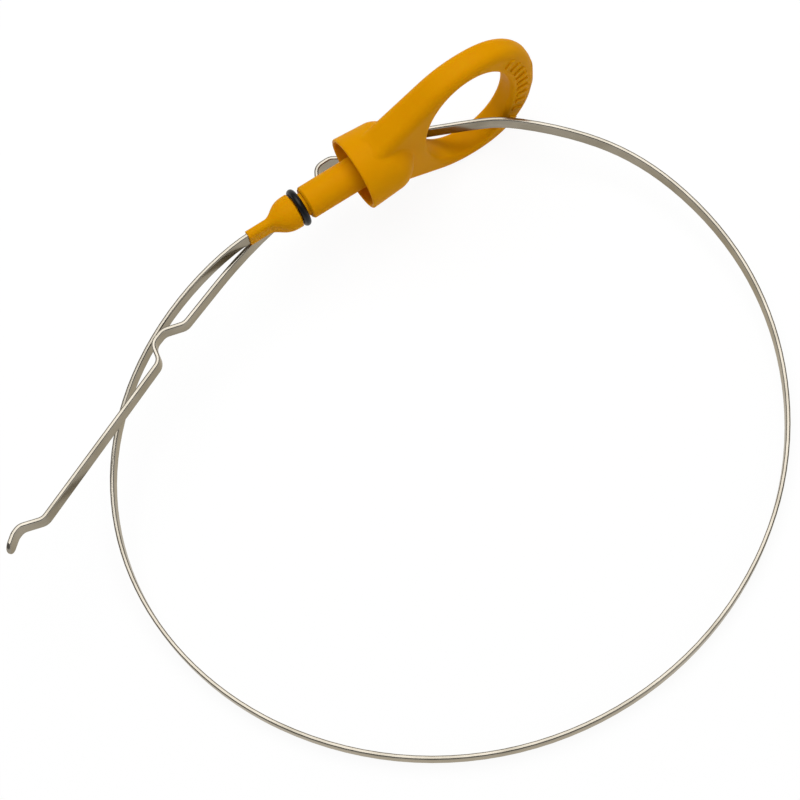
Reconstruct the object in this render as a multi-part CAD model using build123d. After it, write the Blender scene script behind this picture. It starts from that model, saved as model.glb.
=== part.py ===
from build123d import *
import math
import os

# Engine oil dipstick, lying on a flat surface: a moulded handle with a wide finger ring,
# an O-ring seal and a spring steel blade sprung into one loop.
# Millimetres and degrees. The handle's axis runs along X, the ring towards +X, the blade towards -X.
# While the pieces are made, X = 0 is the mouth of the skirt and Z = 0 the surface below.

# Finger ring
ring_width = 50.2
ring_reach = 57.7  # mouth of the skirt to the far end of the ring
ring_thickness = 6.4  # at the far end
root_thickness = 10.4  # at the mouth of the skirt
ring_fullness = 2.2  # 2 is an ellipse, more is squarer
ring_widest = 19.3  # far end back to the widest place
end_steps = 8  # points on each half of the far end's curve
flank_radius = 27.0
flank_foot = 5.2  # mouth of the skirt to where the straight sides would meet the skirt
flare_radius = 12.0  # hollow curve between the sides and the skirt
flare_sink = 1.0  # depth of the curve's start below the skirt's surface
outer_round = 2.8
web_length = 4.2  # plastic between the hole and the dome
side_band = 4.6  # plastic between the hole and the widest place
end_band = 8.2  # plastic between the hole and the far end
hole_round = 1.4

# Bell skirt
skirt_diameter = 21.6
skirt_draft = 0.6  # loss of radius from the mouth to the shoulder
skirt_length = 9.0
dome_length = 8.3
skirt_wall = 1.1
cavity_depth = 11.5
floor_share = 0.6  # part of the cavity's floor that is taken by its round
rim_round = 0.45
crease_round = 1.2  # between the dome and the ring plate

# Stem and seal groove
stem_diameter = 9.5
stem_length = 15.3
stem_bevel = 0.5
groove_width = 3.5
seal_section = 2.1
seal_diameter = 11.1
seal_clearance = 0.05
seal_offset = 1.43  # bulb face to the middle of the seal

# Bulb and neck
bulb_diameter = 9.8
bulb_length = 8.5
bulb_shape = 1.7  # 1 narrows evenly, more keeps the bulb full for longer
bulb_steps = 6
neck_length = 6.1
neck_height = 6.2
neck_thickness = 2.6
neck_corner_share = 0.9  # corner radius as a share of half the thickness
bulb_corner_share = 0.98

# Blade
blade_width = 5.0
blade_thickness = 1.2
blade_grip = 12.0  # length held inside the neck
tip_round = 2.3

# Loop of the blade, seen from above
coil_radius = 95.1
coil_forward = 18.3  # neck end to the middle of the loop, along the axis
coil_aside = 61.8  # handle axis to the middle of the loop
touch_down_angle = 212.0  # where the blade has come down to the surface
lift_off_angle = 303.0  # where it leaves the surface again
fall_lead = 12.5  # how far the blade keeps to the axis after the neck
fall_reach = 78.9  # neck end to the point that draws the fall outwards
fall_aside = 5.2
fall_drop = 13.0
fall_landing = 53.1  # how early the blade turns onto the loop
rise_curl = 2.5  # how late the loop draws in on its way up
rise_steps = 7

# Way of the tail through the ring and under the handle: lengths and headings of its runs
pass_height = 8.0  # middle of the blade above the low side of the hole
pass_lead = 5.1  # start of the tail inside the near end of the hole
pass_offset = 0.05  # middle of the blade past the ring's back face there
behind_depth = 10.14  # middle of the blade below the axis where the first bend starts
tail_rise = 0.1  # climb for each millimetre of tail from there on
through_run = 11.3
through_heading = 158.2
through_radius = 45.0
behind_run = 12.3
behind_heading = 184.0
under_run = 25.3
under_heading = 191.6
under_radius = 150.0
crossing_run = 29.1
crossing_heading = 202.8
last_run = 52.3
last_heading = 205.3

# Two bends that mark the oil levels, and the hooked tip
bend_height = 3.6
bend_ramp = 5.0
bend_crest = 4.6
bend_drop = 3.0
bend_return = 1.2  # depth below the run before the bend
bend_radius = 3.4
bend_corners = 3  # corners of one bend after its start
first_bend = 2  # number of the corner where it starts, the tail's first corner being 0
hook_height = 4.1
hook_crest = 2.4
hook_drop = 4.6
hook_depth = 1.4
tip_lean = 4.0  # the blade leans back this far at its tip

# Stations along the axis and heights
axis_height = ring_width / 2
hole_width = ring_width - 2 * side_band
hole_start = skirt_length + dome_length + web_length
hole_end = ring_reach - end_band
hole_length = hole_end - hole_start
hole_middle = (hole_start + hole_end) / 2
stem_face = -stem_length
bulb_face = stem_face - groove_width
neck_start = bulb_face - bulb_length
neck_end = neck_start - neck_length
skirt_radius = skirt_diameter / 2
stem_radius = stem_diameter / 2
shoulder_radius = skirt_radius - skirt_draft
groove_radius = seal_diameter / 2 - seal_section - seal_clearance
rest_height = blade_width / 2
coil_middle = Vector(neck_end + coil_forward, -coil_aside)
axis = Axis((0, 0, axis_height), (1, 0, 0))
axis_plane = Plane((0, 0, axis_height), x_dir=(1, 0, 0), z_dir=(0, -1, 0))


def across(station):
    """Plane square to the axis, its local x along Y and its local y along Z."""
    return Plane((station, 0, axis_height), x_dir=(0, 1, 0), z_dir=(1, 0, 0))


def direction(heading):
    """Unit vector in plan."""
    return Vector(1, 0).rotate(Axis.Z, heading)


def ring_outline():
    """Side of the ring plate: flared roots on the skirt, straight flanks, round shoulders, full far end."""
    widest = ring_reach - ring_widest
    half = ring_width / 2
    draft = skirt_draft / skirt_length
    corner = Vector(flank_foot, skirt_radius - flare_sink - draft * flank_foot)
    arc_middle = Vector(widest, half - flank_radius)
    to_middle = arc_middle - corner
    slope = math.atan2(to_middle.Y, to_middle.X) + math.asin(flank_radius / to_middle.length)
    arc_start = arc_middle + Vector(-math.sin(slope), math.cos(slope)) * flank_radius
    end_points = []
    for step in range(end_steps):
        turn = math.pi / 2 * step / end_steps
        along = math.sin(turn) ** (2 / ring_fullness)
        aside = math.cos(turn) ** (2 / ring_fullness)
        end_points.append((widest + ring_widest * along, half * aside))
    end_points.append((ring_reach, 0))
    flare_reach = flare_radius * math.tan((slope + math.atan(draft)) / 2)
    root = corner - Vector(1, -draft).normalized() * flare_reach
    flank_start = corner + (arc_start - corner).normalized() * flare_reach
    flare = RadiusArc(root, flank_start, -flare_radius)
    flank = Line(flank_start, arc_start)
    shoulder = RadiusArc(arc_start, end_points[0], flank_radius)
    far_end = Spline(end_points, tangents=[(1, 0), (0, -1)])
    upper = flare + flank + shoulder + far_end
    lower = mirror(upper, about=Plane.XZ)
    closing = Line(root, (root.X, -root.Y))
    return make_face(upper.edges() + lower.edges() + [closing])


def half_thickness(station):
    """Half the thickness of the ring plate, which grows from the far end towards the skirt."""
    return (root_thickness + (ring_thickness - root_thickness) * station / ring_reach) / 2


def ring_plan():
    """The ring plate seen from above."""
    thick = half_thickness(0)
    thin = half_thickness(ring_reach)
    return make_face(Polyline((0, -thick), (ring_reach, -thin), (ring_reach, thin), (0, thick), close=True))


def ring_plate():
    """Finger ring and web as one plate with rounded edges."""
    blank = extrude(axis_plane * ring_outline(), root_thickness, both=True)
    blank = blank & extrude(ring_plan(), ring_width)
    sides = blank.faces().filter_by(lambda face: abs(face.normal_at().Y) > abs(face.normal_at().Z))
    rims = ShapeList([edge for side in sides for edge in side.edges()])
    blank = fillet(rims.filter_by(Axis.Z, reverse=True), outer_round)
    hole_plane = axis_plane * Pos(hole_middle, 0)
    hole = extrude(hole_plane * Ellipse(hole_length / 2, hole_width / 2), root_thickness, both=True)
    plate = blank - hole
    return fillet(new_edges(blank, hole, combined=plate), hole_round)


def bell():
    """Solid bell: drafted skirt closed by an elliptical dome."""
    rim = FilletPolyline((0, 0), (0, skirt_radius), (skirt_length, shoulder_radius), radius=rim_round)
    dome = EllipticalCenterArc((skirt_length, 0), dome_length, shoulder_radius, start_angle=0, arc_size=90)
    base = Line((skirt_length + dome_length, 0), (0, 0))
    return revolve(axis_plane * make_face(rim.edges() + dome.edges() + base.edges()), axis)


def cavity():
    """Ring-shaped hollow between the skirt and the stem, open at the mouth."""
    mouth_radius = skirt_radius - skirt_wall
    floor_radius = shoulder_radius - skirt_wall - skirt_draft
    lip = RadiusArc((0, mouth_radius + rim_round), (rim_round, mouth_radius), -rim_round)
    wall = FilletPolyline(
        (rim_round, mouth_radius),
        (cavity_depth, floor_radius),
        (cavity_depth, stem_radius),
        radius=(floor_radius - stem_radius) * floor_share,
    )
    mouth = Polyline((cavity_depth, stem_radius), (0, stem_radius), (0, mouth_radius + rim_round))
    profile = make_face(lip.edges() + wall.edges() + mouth.edges())
    return revolve(axis_plane * profile, axis)


def stem():
    """Round stem from the skirt to the seal groove, and the core of the groove."""
    shaft = extrude(across(stem_face) * Circle(stem_radius), stem_length + skirt_length)
    shaft = chamfer(shaft.edges().sort_by(Axis.X)[0], stem_bevel)
    core = extrude(across(bulb_face) * Circle(groove_radius), groove_width + stem_bevel)
    return shaft + core


def bulb_and_neck():
    """Tulip-shaped bulb that runs out into the flat neck."""
    sections = []
    for step in range(bulb_steps + 1):
        share = step / bulb_steps
        swell = (1 + math.cos(math.pi * share**bulb_shape)) / 2
        thickness = neck_thickness + swell * (bulb_diameter - neck_thickness)
        height = neck_height + swell * (bulb_diameter - neck_height)
        corner_share = neck_corner_share + swell * (bulb_corner_share - neck_corner_share)
        station = bulb_face - share * bulb_length
        sections.append(across(station) * RectangleRounded(thickness, height, thickness / 2 * corner_share))
    neck_section = RectangleRounded(neck_thickness, neck_height, neck_thickness / 2 * neck_corner_share)
    neck = extrude(across(neck_end) * neck_section, neck_length + bulb_length / 2)
    return loft(sections) + neck


def blade_section():
    return Rectangle(blade_thickness, blade_width)


def make_handle():
    dome = bell()
    plate = ring_plate()
    body = dome + plate
    body = fillet(new_edges(dome, plate, combined=body), crease_round)
    body = body - cavity()
    body += stem() + bulb_and_neck()
    return body - extrude(across(neck_end) * blade_section(), blade_grip)


def make_o_ring():
    station = bulb_face + seal_offset
    return across(station) * Torus(seal_diameter / 2 - seal_section / 2, seal_section / 2)


def on_coil(angle, share, height):
    """Point at an angle of the loop, at a share of its radius."""
    return coil_middle + direction(angle) * (coil_radius * share) + Vector(0, 0, height)


def fall_curve():
    """From the neck outwards and down to the surface."""
    first = Vector(neck_end, 0, axis_height)
    last = on_coil(touch_down_angle, 1, rest_height)
    lead = first - Vector(fall_lead, 0, 0)
    landing = last - direction(touch_down_angle + 90) * fall_landing
    outwards = first - Vector(fall_reach, fall_aside, fall_drop)
    return Bezier(first, lead, outwards, landing, last)


def flat_arc():
    """Part of the loop that lies on the surface."""
    plane = Plane((coil_middle.X, coil_middle.Y, rest_height))
    return plane * CenterArc((0, 0), coil_radius, touch_down_angle, lift_off_angle - touch_down_angle)


def rise_curve(last, heading):
    """Spiral from the surface up and inwards to the start of the tail."""
    reach = Vector(last.X, last.Y) - coil_middle
    first_turn = lift_off_angle - 360
    last_turn = math.degrees(math.atan2(reach.Y, reach.X))
    drawn_in = 1 - reach.length / coil_radius
    points = []
    for step in range(rise_steps):
        part = step / rise_steps
        height = rest_height + (last.Z - rest_height) * part * part * (3 - 2 * part)
        angle = first_turn + part * (last_turn - first_turn)
        points.append(on_coil(angle, 1 - drawn_in * part**rise_curl, height))
    points.append(last)
    return Spline(points, tangents=[direction(first_turn + 90), heading])


def bend(start, heading, height, crest, drop, depth):
    """Corners of one bend after its start: a ramp away from the loop, a crest and a drop."""
    along = direction(heading)
    away = direction(heading - 90)
    foot = start + along * bend_ramp + away * height
    edge = foot + along * crest
    return [foot, edge, edge + along * drop - away * depth]


def tail_corners():
    """Plan of the tail, from inside the ring to the hooked tip."""
    level_bend = (bend_height, bend_crest, bend_drop, bend_height + bend_return)
    start = hole_start + pass_lead
    corners = [Vector(start, half_thickness(start) + pass_offset)]
    corners.append(corners[-1] + direction(through_heading) * through_run)
    corners.append(corners[-1] + direction(behind_heading) * behind_run)
    corners += bend(corners[-1], behind_heading, *level_bend)
    corners.append(corners[-1] + direction(under_heading) * under_run)
    corners.append(corners[-1] + direction(crossing_heading) * crossing_run)
    corners += bend(corners[-1], crossing_heading, *level_bend)
    corners.append(corners[-1] + direction(last_heading) * last_run)
    corners += bend(corners[-1], last_heading, hook_height, hook_crest, hook_drop, hook_depth)
    return corners


def tail_lines():
    """Middle line of the tail and the line of its upper edge, which leans at the hook."""
    corners = tail_corners()
    height = axis_height - hole_width / 2 + pass_height
    first_rise = (axis_height - behind_depth - height) / (through_run + behind_run)
    upright = Vector(0, 0, blade_width)
    leaning = upright.rotate(Axis((0, 0, 0), direction(last_heading)), tip_lean)
    middle = []
    edge = []
    for number, corner in enumerate(corners):
        rise = tail_rise if number > first_bend else first_rise
        height += rise * (corner - corners[max(number - 1, 0)]).length
        middle.append(corner + Vector(0, 0, height))
        at_hook = number >= len(corners) - 1 - bend_corners
        edge.append(middle[-1] + (leaning if at_hook else upright))
    bends = [bend_radius] * bend_corners
    radii = [through_radius, bend_radius] + bends + [under_radius, bend_radius] + bends + bends
    return FilletPolyline(middle, radius=radii), FilletPolyline(edge, radius=radii)


def tip_corners(end, heading, up):
    """What is cut from the blade's square end to round it."""
    plane = Plane(end, x_dir=heading, z_dir=heading.cross(up))
    square = Rectangle(2 * tip_round, blade_width)
    rounded = RectangleRounded(2 * blade_width, blade_width, tip_round, align=(Align.MAX, Align.CENTER))
    return extrude(plane * (square - rounded), blade_thickness, both=True)


def make_blade():
    tail, tail_edge = tail_lines()
    grip = Line((neck_end + blade_grip, 0, axis_height), (neck_end, 0, axis_height))
    rise = rise_curve(tail @ 0, tail % 0)
    head = grip.edges() + fall_curve().edges() + flat_arc().edges() + rise.edges()
    lift = Location((0, 0, blade_width))
    upper_edge = Wire([edge.moved(lift) for edge in head] + tail_edge.edges())
    start = Plane(grip @ 0, x_dir=(0, 1, 0), z_dir=(-1, 0, 0))
    strip = sweep(start * blade_section(), Wire(head + tail.edges()), binormal=upper_edge)
    return strip - tip_corners(tail @ 1, tail % 1, tail_edge @ 1 - tail @ 1)


pieces = {"handle": make_handle(), "o_ring": make_o_ring(), "blade": make_blade()}

# The origin moves to the middle of the whole part's box, on the surface
box = Compound(list(pieces.values())).bounding_box()
to_origin = Location((-box.center().X, -box.center().Y, -box.min.Z))

os.makedirs("parts", exist_ok=True)
for name, piece in pieces.items():
    export_step(piece.moved(to_origin), f"parts/{name}.step")
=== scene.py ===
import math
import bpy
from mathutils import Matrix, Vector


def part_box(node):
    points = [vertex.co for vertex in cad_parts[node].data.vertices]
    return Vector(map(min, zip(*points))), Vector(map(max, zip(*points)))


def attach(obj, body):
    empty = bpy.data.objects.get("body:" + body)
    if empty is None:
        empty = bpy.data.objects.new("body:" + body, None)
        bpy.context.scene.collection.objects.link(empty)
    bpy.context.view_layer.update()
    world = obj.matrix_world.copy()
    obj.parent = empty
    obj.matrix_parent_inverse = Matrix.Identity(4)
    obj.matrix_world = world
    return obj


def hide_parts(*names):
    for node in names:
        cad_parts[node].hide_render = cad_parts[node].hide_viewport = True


bl_info = {
    "name": "Engine oil dipstick",
    "version": (1, 0, 0),
    "blender": (4, 5, 0),
    "location": "View3D > Sidebar > Dipstick",
    "description": "Finishes, edges, raised bars and studio for an engine oil dipstick",
    "category": "Object",
}

import bmesh
import bpy
from bpy.props import FloatProperty, FloatVectorProperty, IntProperty, PointerProperty
from mathutils import Matrix, Vector

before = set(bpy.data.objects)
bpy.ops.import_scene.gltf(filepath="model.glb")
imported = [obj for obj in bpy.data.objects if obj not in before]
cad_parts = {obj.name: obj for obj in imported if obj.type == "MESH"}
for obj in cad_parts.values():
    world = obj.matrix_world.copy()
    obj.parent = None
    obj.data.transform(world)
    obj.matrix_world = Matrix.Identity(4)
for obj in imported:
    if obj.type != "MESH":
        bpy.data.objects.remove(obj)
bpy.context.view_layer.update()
handle_low, handle_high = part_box("handle")
MM = 0.001

# Each face of the finger ring moves out by the rise over the run, from the far end inwards
TAPER_RISE = 2.0 * MM
TAPER_RUN = 57.7 * MM

# Steel strip: points this close are one, and triangles that lie this flat join into one face
STRIP_WIDTH = 5.0 * MM
SAME_POINT = 0.001 * MM
FLAT_JOIN = math.radians(30)
ANY_SHAPE = math.radians(90)
# A face is on the strip's upper edge where its normal rises by more than this
UPPER_RISE = 0.5
# Edges sharper than this are rounded
SHARP_EDGE = math.radians(50)
STRIP_SEGMENTS = 4

# Raised bars: they lie on an oval this much taller than it is wide. A bar is four of its heights
# thick, three of them sunk in the band, and its edges are rounded by a share of its height
OVAL_STRETCH = 1.43
BAR_DEPTH = 4
BAR_ROUND = 0.4
BAR_SEGMENTS = 3

# Floor: reach from the middle, drop under the object, strength of its own glow, and the share
# of the glow in what the camera sees
FLOOR_REACH = 4.0
FLOOR_DROP = 0.02 * MM
FLOOR_GLOW = 1.03
GLOW_SHARE = 0.9

# Room: light of the horizon up to the first angle, and dim walls from the second one
HORIZON_LIGHT = 0.95
HORIZON_TOP = math.radians(4)
WALLS_START = math.radians(12)

# Lamps: way from the target, distance from it and width of the round face
KEY_WAY = Vector((0.1, 0.27, 0.95))
KEY_DISTANCE = 0.9
KEY_WIDTH = 0.95
FILL_WAY = Vector((0.35, -0.85, 0.55))
FILL_DISTANCE = 1.0
FILL_WIDTH = 0.6

SENSOR_WIDTH = 36.0


def linear(code):
    """An sRGB hex colour as linear RGBA."""
    parts = [int(code[place : place + 2], 16) / 255 for place in (1, 3, 5)]
    return (*(c / 12.92 if c <= 0.04045 else ((c + 0.055) / 1.055) ** 2.4 for c in parts), 1.0)


class DipstickFinishes(bpy.types.PropertyGroup):
    """Colours of the three materials."""

    plastic: FloatVectorProperty(
        name="Plastic",
        description="Colour of the moulded handle",
        default=linear("#E69E00"),
        size=4,
        subtype="COLOR",
        min=0,
        max=1,
    )
    plastic_deep: FloatVectorProperty(
        name="Plastic, deep",
        description="Colour of the handle where the pigment lies thicker",
        default=linear("#DC9200"),
        size=4,
        subtype="COLOR",
        min=0,
        max=1,
    )
    steel: FloatVectorProperty(
        name="Steel",
        description="Colour of the spring steel strip",
        default=linear("#7F796D"),
        size=4,
        subtype="COLOR",
        min=0,
        max=1,
    )
    steel_bright: FloatVectorProperty(
        name="Steel, bright",
        description="Colour of the strip where the rolls have polished it",
        default=linear("#A8A297"),
        size=4,
        subtype="COLOR",
        min=0,
        max=1,
    )
    rubber: FloatVectorProperty(
        name="Rubber",
        description="Colour of the seal",
        default=linear("#08080A"),
        size=4,
        subtype="COLOR",
        min=0,
        max=1,
    )


class DipstickEdges(bpy.types.PropertyGroup):
    """Sizes of the small forms on the handle and the strip."""

    strip_edge: FloatProperty(
        name="Strip edge",
        description="Round along the edges of the steel strip",
        default=0.4 * MM,
        unit="LENGTH",
    )
    bar_count: IntProperty(
        name="Bars",
        description="Raised bars on the end band of the finger ring",
        default=10,
        min=2,
    )
    bar_spread: FloatProperty(
        name="Spread",
        description="Angle from the middle of the bars to the outermost ones",
        default=math.radians(50),
        subtype="ANGLE",
    )
    bar_length: FloatProperty(
        name="Bar length",
        description="Length of a bar across the band",
        default=3.4 * MM,
        unit="LENGTH",
    )
    bar_width: FloatProperty(
        name="Bar width",
        description="Width of a bar along the band",
        default=1.5 * MM,
        unit="LENGTH",
    )
    bar_height: FloatProperty(
        name="Bar height",
        description="Height of a bar above the face of the band",
        default=0.45 * MM,
        unit="LENGTH",
    )
    bar_reach: FloatProperty(
        name="Bar reach",
        description="Far end of the ring back to the middle of the bars",
        default=4.7 * MM,
        unit="LENGTH",
    )
    hole_reach: FloatProperty(
        name="Hole reach",
        description="Far end of the ring back to the middle of the finger hole",
        default=22.2 * MM,
        unit="LENGTH",
    )
    ring_thickness: FloatProperty(
        name="Ring thickness",
        description="Thickness of the finger ring at its far end",
        default=6.4 * MM,
        unit="LENGTH",
    )
    ring_taper: FloatProperty(
        name="Ring taper",
        description="Turn of each face of the ring away from the handle's middle plane",
        default=math.atan(TAPER_RISE / TAPER_RUN),
        subtype="ANGLE",
    )


class DipstickStudio(bpy.types.PropertyGroup):
    """Camera and light."""

    target: FloatVectorProperty(
        name="Target",
        description="Place on the floor in the middle of the picture",
        default=(5.58 * MM, 19.59 * MM, 0),
        subtype="XYZ",
        unit="LENGTH",
    )
    distance: FloatProperty(
        name="Distance",
        description="Camera to target",
        default=621.6 * MM,
        unit="LENGTH",
    )
    azimuth: FloatProperty(
        name="Azimuth",
        description="Turn of the camera about the vertical, from the front",
        default=math.radians(-22.7),
        subtype="ANGLE",
    )
    elevation: FloatProperty(
        name="Elevation",
        description="Height of the camera above the horizon",
        default=math.radians(71),
        subtype="ANGLE",
    )
    roll: FloatProperty(
        name="Roll",
        description="Turn of the camera about its own axis",
        default=math.radians(-10.66),
        subtype="ANGLE",
    )
    lens: FloatProperty(
        name="Lens",
        description="Focal length on a 36 mm sensor",
        default=102.4,
        unit="CAMERA",
    )
    key_power: FloatProperty(
        name="Key light",
        description="Power of the large softbox above and behind the object",
        default=6.4,
        unit="POWER",
    )
    fill_power: FloatProperty(
        name="Fill light",
        description="Power of the soft lamp in front of the object",
        default=0.75,
        unit="POWER",
    )
    walls: FloatProperty(
        name="Walls",
        description="Strength of the light from the room above its white horizon",
        default=0.22,
        min=0,
    )


def node(tree, kind, inputs, **settings):
    """Adds a node. An input is a value, or the socket that is linked to it.

    Sockets that share a name go by number: a Mix node's colours are inputs 6 and 7, output 2.
    """
    made = tree.nodes.new(kind)
    for name, value in settings.items():
        setattr(made, name, value)
    for name, value in inputs.items():
        if isinstance(value, bpy.types.NodeSocket):
            tree.links.new(value, made.inputs[name])
        else:
            made.inputs[name].default_value = value
    return made


def new_material(name):
    """An empty node material and its tree."""
    made = bpy.data.materials.new(name)
    made.use_nodes = True
    made.node_tree.nodes.clear()
    return made, made.node_tree


def dress(piece, material):
    """Gives every face of a piece one material."""
    piece.data.materials.clear()
    piece.data.materials.append(material)


def new_piece(name, shape, material, scene):
    """A mesh object in the scene with one material, made from a bmesh that is then freed."""
    mesh = bpy.data.meshes.new(name)
    shape.to_mesh(mesh)
    shape.free()
    piece = bpy.data.objects.new(name, mesh)
    scene.collection.objects.link(piece)
    dress(piece, material)
    return piece


def moulded_nylon(finishes):
    """Injection moulded nylon: satin skin with a faint grain, slow changes of tone and gloss."""
    made, tree = new_material("moulded_nylon")
    place = node(tree, "ShaderNodeTexCoord", {}).outputs["Object"]
    # The melt's flow changes the tone over about 14 mm
    flow_size = 14 * MM
    flow = node(
        tree,
        "ShaderNodeTexNoise",
        {"Vector": place, "Scale": 1 / flow_size, "Detail": 3.0},
    )
    tone = node(
        tree,
        "ShaderNodeMix",
        {0: flow.outputs["Fac"], 6: finishes.plastic, 7: finishes.plastic_deep},
        data_type="RGBA",
    )
    # The gloss wanders over about 6 mm
    wander_size = 6 * MM
    wander = node(
        tree,
        "ShaderNodeTexNoise",
        {"Vector": place, "Scale": 1 / wander_size, "Detail": 4.0},
    )
    gloss = node(
        tree,
        "ShaderNodeMapRange",
        {"Value": wander.outputs["Fac"], "To Min": 0.44, "To Max": 0.56},
    )
    # Grain of the mould, 0.05 mm in reality, drawn at 0.4 mm to show
    grain_size = 0.4 * MM
    grain = node(
        tree,
        "ShaderNodeTexNoise",
        {"Vector": place, "Scale": 1 / grain_size, "Detail": 2.0},
    )
    relief = node(
        tree,
        "ShaderNodeBump",
        {"Height": grain.outputs["Fac"], "Strength": 0.12, "Distance": 0.02 * MM},
    )
    # Light that sinks in by about 2 mm comes back redder, and the skin has hardly any shine
    skin = node(
        tree,
        "ShaderNodeBsdfPrincipled",
        {
            "Base Color": tone.outputs[2],
            "Roughness": gloss.outputs[0],
            "IOR": 1.53,
            "Specular IOR Level": 0.02,
            "Subsurface Weight": 0.15,
            "Subsurface Radius": (1.0, 0.35, 0.05),
            "Subsurface Scale": 2.0 * MM,
            "Normal": relief.outputs[0],
        },
    )
    node(tree, "ShaderNodeOutputMaterial", {"Surface": skin.outputs[0]})
    return made


def rolled_spring_steel(finishes):
    """Rolled spring steel: smooth, with faint rolling lines along the strip and dull patches."""
    made, tree = new_material("rolled_spring_steel")
    place = node(tree, "ShaderNodeTexCoord", {}).outputs["Object"]
    across = node(tree, "ShaderNodeAttribute", {}, attribute_name="across")
    # Rolling lines about 0.02 mm apart in reality, drawn at 0.25 mm to show on the 5 mm strip
    line_size = 0.25 * MM
    line_place = node(
        tree,
        "ShaderNodeMath",
        {0: across.outputs["Fac"], 1: STRIP_WIDTH / line_size},
        operation="MULTIPLY",
    )
    lines = node(
        tree,
        "ShaderNodeTexNoise",
        {"W": line_place.outputs[0], "Scale": 1.0, "Detail": 3.0},
        noise_dimensions="1D",
    )
    # Handling marks, soft patches of about 10 mm
    patch_size = 10 * MM
    patches = node(
        tree,
        "ShaderNodeTexNoise",
        {"Vector": place, "Scale": 1 / patch_size, "Detail": 4.0},
    )
    mixed = node(
        tree,
        "ShaderNodeMath",
        {0: lines.outputs["Fac"], 1: patches.outputs["Fac"]},
        operation="MULTIPLY",
    )
    # The mixed pattern stays between 0.1 and 0.45 nearly everywhere, and this spreads it to 0 and 1
    polish = node(
        tree,
        "ShaderNodeMapRange",
        {"Value": mixed.outputs[0], "From Min": 0.1, "From Max": 0.45},
    )
    gloss = node(
        tree,
        "ShaderNodeMapRange",
        {"Value": polish.outputs[0], "To Min": 0.14, "To Max": 0.26},
    )
    tone = node(
        tree,
        "ShaderNodeMix",
        {0: polish.outputs[0], 6: finishes.steel, 7: finishes.steel_bright},
        data_type="RGBA",
    )
    relief = node(
        tree,
        "ShaderNodeBump",
        {"Height": lines.outputs["Fac"], "Strength": 0.1, "Distance": 0.01 * MM},
    )
    # The specular tint dulls and warms the steel where it is seen at a grazing angle
    skin = node(
        tree,
        "ShaderNodeBsdfPrincipled",
        {
            "Base Color": tone.outputs[2],
            "Specular Tint": linear("#DCD3C2"),
            "Metallic": 1.0,
            "Roughness": gloss.outputs[0],
            "Normal": relief.outputs[0],
        },
    )
    node(tree, "ShaderNodeOutputMaterial", {"Surface": skin.outputs[0]})
    return made


def nitrile_rubber(finishes):
    """Moulded nitrile rubber: near black, smooth, with a soft wide highlight from an oily skin."""
    made, tree = new_material("nitrile_rubber")
    place = node(tree, "ShaderNodeTexCoord", {}).outputs["Object"]
    # The oily skin changes over about 2 mm
    bloom_size = 2 * MM
    bloom = node(
        tree,
        "ShaderNodeTexNoise",
        {"Vector": place, "Scale": 1 / bloom_size, "Detail": 3.0},
    )
    gloss = node(
        tree,
        "ShaderNodeMapRange",
        {"Value": bloom.outputs["Fac"], "To Min": 0.30, "To Max": 0.45},
    )
    skin = node(
        tree,
        "ShaderNodeBsdfPrincipled",
        {
            "Base Color": finishes.rubber,
            "Roughness": gloss.outputs[0],
            "IOR": 1.52,
            "Specular IOR Level": 0.25,
        },
    )
    node(tree, "ShaderNodeOutputMaterial", {"Surface": skin.outputs[0]})
    return made


def white_paper():
    """Matt white paper: shown white, while it still takes the object's soft shadow."""
    made, tree = new_material("white_paper")
    ray = node(tree, "ShaderNodeLightPath", {})
    seen = node(
        tree,
        "ShaderNodeMath",
        {0: ray.outputs["Is Camera Ray"], 1: ray.outputs["Is Glossy Ray"]},
        operation="MAXIMUM",
    )
    seen = node(
        tree,
        "ShaderNodeMath",
        {0: seen.outputs[0], 1: ray.outputs["Is Transmission Ray"]},
        operation="MAXIMUM",
    )
    share = node(
        tree,
        "ShaderNodeMath",
        {0: seen.outputs[0], 1: GLOW_SHARE},
        operation="MULTIPLY",
    )
    matt = node(tree, "ShaderNodeBsdfDiffuse", {"Color": linear("#F2F2F2")})
    glow = node(
        tree,
        "ShaderNodeEmission",
        {"Color": linear("#FFFFFF"), "Strength": FLOOR_GLOW},
    )
    both = node(
        tree,
        "ShaderNodeMixShader",
        {0: share.outputs[0], 1: matt.outputs[0], 2: glow.outputs[0]},
    )
    node(tree, "ShaderNodeOutputMaterial", {"Surface": both.outputs[0]})
    return made


def soft_room(walls):
    """World of an even room: white at the horizon, where it joins the floor, and dim above it."""
    made = bpy.data.worlds.new("soft_room")
    made.use_nodes = True
    tree = made.node_tree
    tree.nodes.clear()
    way = node(tree, "ShaderNodeTexCoord", {}).outputs["Generated"]
    rise = node(tree, "ShaderNodeSeparateXYZ", {"Vector": way}).outputs["Z"]
    strength = node(
        tree,
        "ShaderNodeMapRange",
        {
            "Value": rise,
            "From Min": math.sin(HORIZON_TOP),
            "From Max": math.sin(WALLS_START),
            "To Min": HORIZON_LIGHT,
            "To Max": walls,
        },
    )
    light = node(
        tree,
        "ShaderNodeBackground",
        {"Color": linear("#FFFFFF"), "Strength": strength.outputs[0]},
    )
    node(tree, "ShaderNodeOutputWorld", {"Surface": light.outputs[0]})
    return made


class DIPSTICK_OT_handle(bpy.types.Operator):
    """Dress the moulded handle"""

    bl_idname = "dipstick.handle"
    bl_label = "Handle"

    def execute(self, context):
        dress(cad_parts["handle"], moulded_nylon(context.scene.dipstick_finishes))
        return {"FINISHED"}


class DIPSTICK_OT_seal(bpy.types.Operator):
    """Dress the O-ring seal"""

    bl_idname = "dipstick.seal"
    bl_label = "Seal"

    def execute(self, context):
        dress(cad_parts["o_ring"], nitrile_rubber(context.scene.dipstick_finishes))
        return {"FINISHED"}


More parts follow.
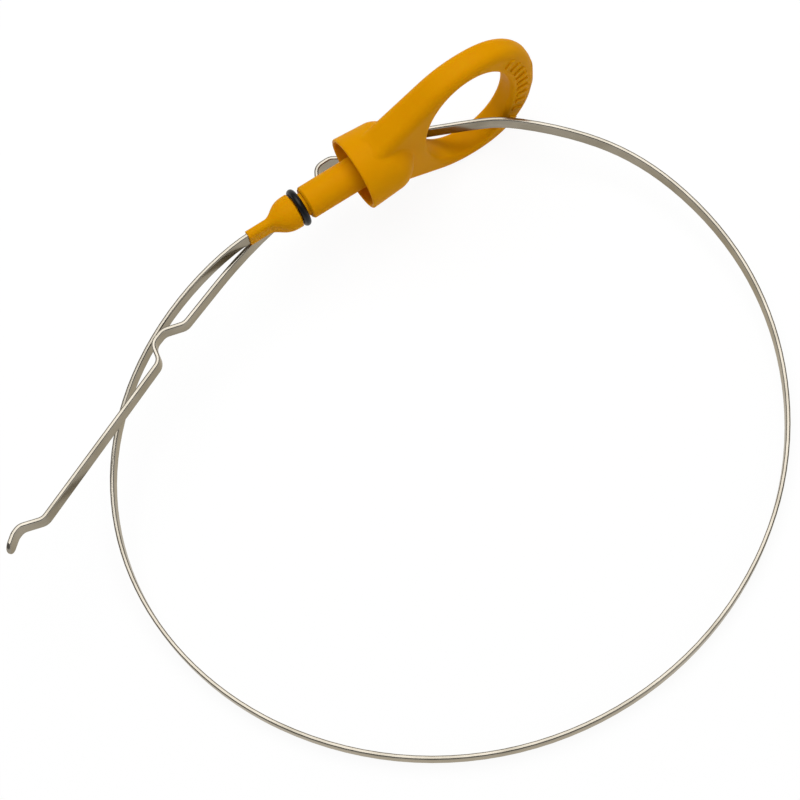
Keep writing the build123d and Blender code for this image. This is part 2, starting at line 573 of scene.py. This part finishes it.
class DIPSTICK_OT_strip(bpy.types.Operator):
    """Copy the steel strip and round its edges"""

    bl_idname = "dipstick.strip"
    bl_label = "Steel strip"

    def execute(self, context):
        scene = context.scene
        strip = bmesh.new()
        strip.from_mesh(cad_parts["blade"].data)
        bmesh.ops.remove_doubles(strip, verts=strip.verts, dist=SAME_POINT)
        bmesh.ops.join_triangles(
            strip,
            faces=strip.faces,
            angle_face_threshold=FLAT_JOIN,
            angle_shape_threshold=ANY_SHAPE,
        )
        # Across runs from 0 on the lower edge of the strip to 1 on the upper one
        across = strip.verts.layers.float.new("across")
        for vert in strip.verts:
            rises = [face.normal.z for face in vert.link_faces]
            if max(rises) > UPPER_RISE:
                vert[across] = 1.0
            elif min(rises) < -UPPER_RISE:
                vert[across] = 0.0
            else:
                vert[across] = 0.5
        for face in strip.faces:
            face.smooth = True
        steel = rolled_spring_steel(scene.dipstick_finishes)
        piece = new_piece("blade_strip", strip, steel, scene)
        edge = piece.modifiers.new("edge", "BEVEL")
        edge.width = scene.dipstick_edges.strip_edge
        edge.segments = STRIP_SEGMENTS
        edge.limit_method = "ANGLE"
        edge.angle_limit = SHARP_EDGE
        edge.use_clamp_overlap = False
        # Even widths, because rounds that slide along the faces' edges fold at the tip
        edge.loop_slide = False
        piece.modifiers.new("flat_sides", "WEIGHTED_NORMAL")
        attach(piece, "root")
        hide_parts("blade")
        return {"FINISHED"}


class DIPSTICK_OT_bars(bpy.types.Operator):
    """Set raised bars round the end band of the finger ring"""

    bl_idname = "dipstick.bars"
    bl_label = "Raised bars"

    def execute(self, context):
        edges = context.scene.dipstick_edges
        middle = (handle_low + handle_high) / 2
        oval_width = edges.hole_reach - edges.bar_reach
        oval_height = oval_width * OVAL_STRETCH
        size = (edges.bar_length, BAR_DEPTH * edges.bar_height, edges.bar_width)
        bars = bmesh.new()
        for number in range(edges.bar_count):
            turn = edges.bar_spread * (2 * number / (edges.bar_count - 1) - 1)
            radius = 1 / math.hypot(math.cos(turn) / oval_width, math.sin(turn) / oval_height)
            made = bmesh.ops.create_cube(bars, size=1.0)["verts"]
            bmesh.ops.scale(bars, verts=made, vec=size)
            bmesh.ops.translate(bars, verts=made, vec=(radius, 0, 0))
            bmesh.ops.rotate(
                bars,
                verts=made,
                cent=(0, 0, 0),
                matrix=Matrix.Rotation(-turn, 3, "Y"),
            )
            bmesh.ops.translate(
                bars,
                verts=made,
                vec=(-edges.hole_reach, edges.bar_height, 0),
            )
        # The bars stand on the tapered face, which leans about the far end of the ring
        lean = Matrix.Rotation(edges.ring_taper, 3, "Z")
        bmesh.ops.rotate(bars, verts=bars.verts, cent=(0, 0, 0), matrix=lean)
        face = Vector((handle_high.x, middle.y - edges.ring_thickness / 2, middle.z))
        bmesh.ops.translate(bars, verts=bars.verts, vec=face)
        bmesh.ops.bevel(
            bars,
            geom=bars.edges[:],
            offset=BAR_ROUND * edges.bar_height,
            offset_type="OFFSET",
            affect="EDGES",
            segments=BAR_SEGMENTS,
            profile=0.5,
            material=-1,
        )
        for part in bars.faces:
            part.smooth = True
        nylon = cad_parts["handle"].data.materials[0]
        piece = new_piece("band_bars", bars, nylon, context.scene)
        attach(piece, "root")
        return {"FINISHED"}


class DIPSTICK_OT_studio(bpy.types.Operator):
    """Lay the floor and set the light and the camera"""

    bl_idname = "dipstick.studio"
    bl_label = "Studio"

    def execute(self, context):
        scene = context.scene
        studio = scene.dipstick_studio
        sheet = bmesh.new()
        bmesh.ops.create_grid(sheet, x_segments=1, y_segments=1, size=FLOOR_REACH)
        bmesh.ops.translate(sheet, verts=sheet.verts, vec=(0, 0, -FLOOR_DROP))
        floor = new_piece("floor", sheet, white_paper(), scene)
        scene.world = soft_room(studio.walls)

        target = Vector(studio.target)
        lamps = (
            ("key_light", KEY_WAY, KEY_DISTANCE, KEY_WIDTH, studio.key_power),
            ("fill_light", FILL_WAY, FILL_DISTANCE, FILL_WIDTH, studio.fill_power),
        )
        for name, way, distance, width, power in lamps:
            light = bpy.data.lights.new(name, "AREA")
            light.energy = power
            light.shape = "DISK"
            light.size = width
            lamp = bpy.data.objects.new(name, light)
            lamp.location = target + way.normalized() * distance
            lamp.rotation_euler = (-way).to_track_quat("-Z", "Y").to_euler()
            scene.collection.objects.link(lamp)

        flat = math.cos(studio.elevation)
        back = Vector(
            (
                math.sin(studio.azimuth) * flat,
                -math.cos(studio.azimuth) * flat,
                math.sin(studio.elevation),
            )
        )
        optics = bpy.data.cameras.new("camera")
        optics.lens = studio.lens
        optics.sensor_width = SENSOR_WIDTH
        camera = bpy.data.objects.new("camera", optics)
        turn = (-back).to_track_quat("-Z", "Y").to_matrix().to_4x4()
        camera.matrix_world = (
            Matrix.Translation(target + back * studio.distance)
            @ turn
            @ Matrix.Rotation(studio.roll, 4, "Z")
        )
        scene.collection.objects.link(camera)
        scene.camera = camera
        scene.view_settings.view_transform = "Standard"
        return {"FINISHED"}


class DIPSTICK_PT_panel(bpy.types.Panel):
    """Sizes, colours and steps of the dipstick"""

    bl_label = "Engine oil dipstick"
    bl_idname = "DIPSTICK_PT_panel"
    bl_space_type = "VIEW_3D"
    bl_region_type = "UI"
    bl_category = "Dipstick"

    def draw(self, context):
        for place in GROUPS:
            group = getattr(context.scene, place)
            box = self.layout.box()
            for name in group.__annotations__:
                box.prop(group, name)
        for step in STEPS:
            self.layout.operator(step.bl_idname)


GROUPS = {
    "dipstick_finishes": DipstickFinishes,
    "dipstick_edges": DipstickEdges,
    "dipstick_studio": DipstickStudio,
}
STEPS = (
    DIPSTICK_OT_handle,
    DIPSTICK_OT_seal,
    DIPSTICK_OT_strip,
    DIPSTICK_OT_bars,
    DIPSTICK_OT_studio,
)


def register():
    for made in (*GROUPS.values(), *STEPS, DIPSTICK_PT_panel):
        bpy.utils.register_class(made)
    for name, group in GROUPS.items():
        setattr(bpy.types.Scene, name, PointerProperty(type=group))


def unregister():
    for name in GROUPS:
        delattr(bpy.types.Scene, name)
    for made in (DIPSTICK_PT_panel, *reversed(STEPS), *reversed(GROUPS.values())):
        bpy.utils.unregister_class(made)


def main():
    register()
    bpy.ops.dipstick.handle()
    bpy.ops.dipstick.seal()
    bpy.ops.dipstick.strip()
    bpy.ops.dipstick.bars()
    bpy.ops.dipstick.studio()


if __name__ == "__main__":
    main()
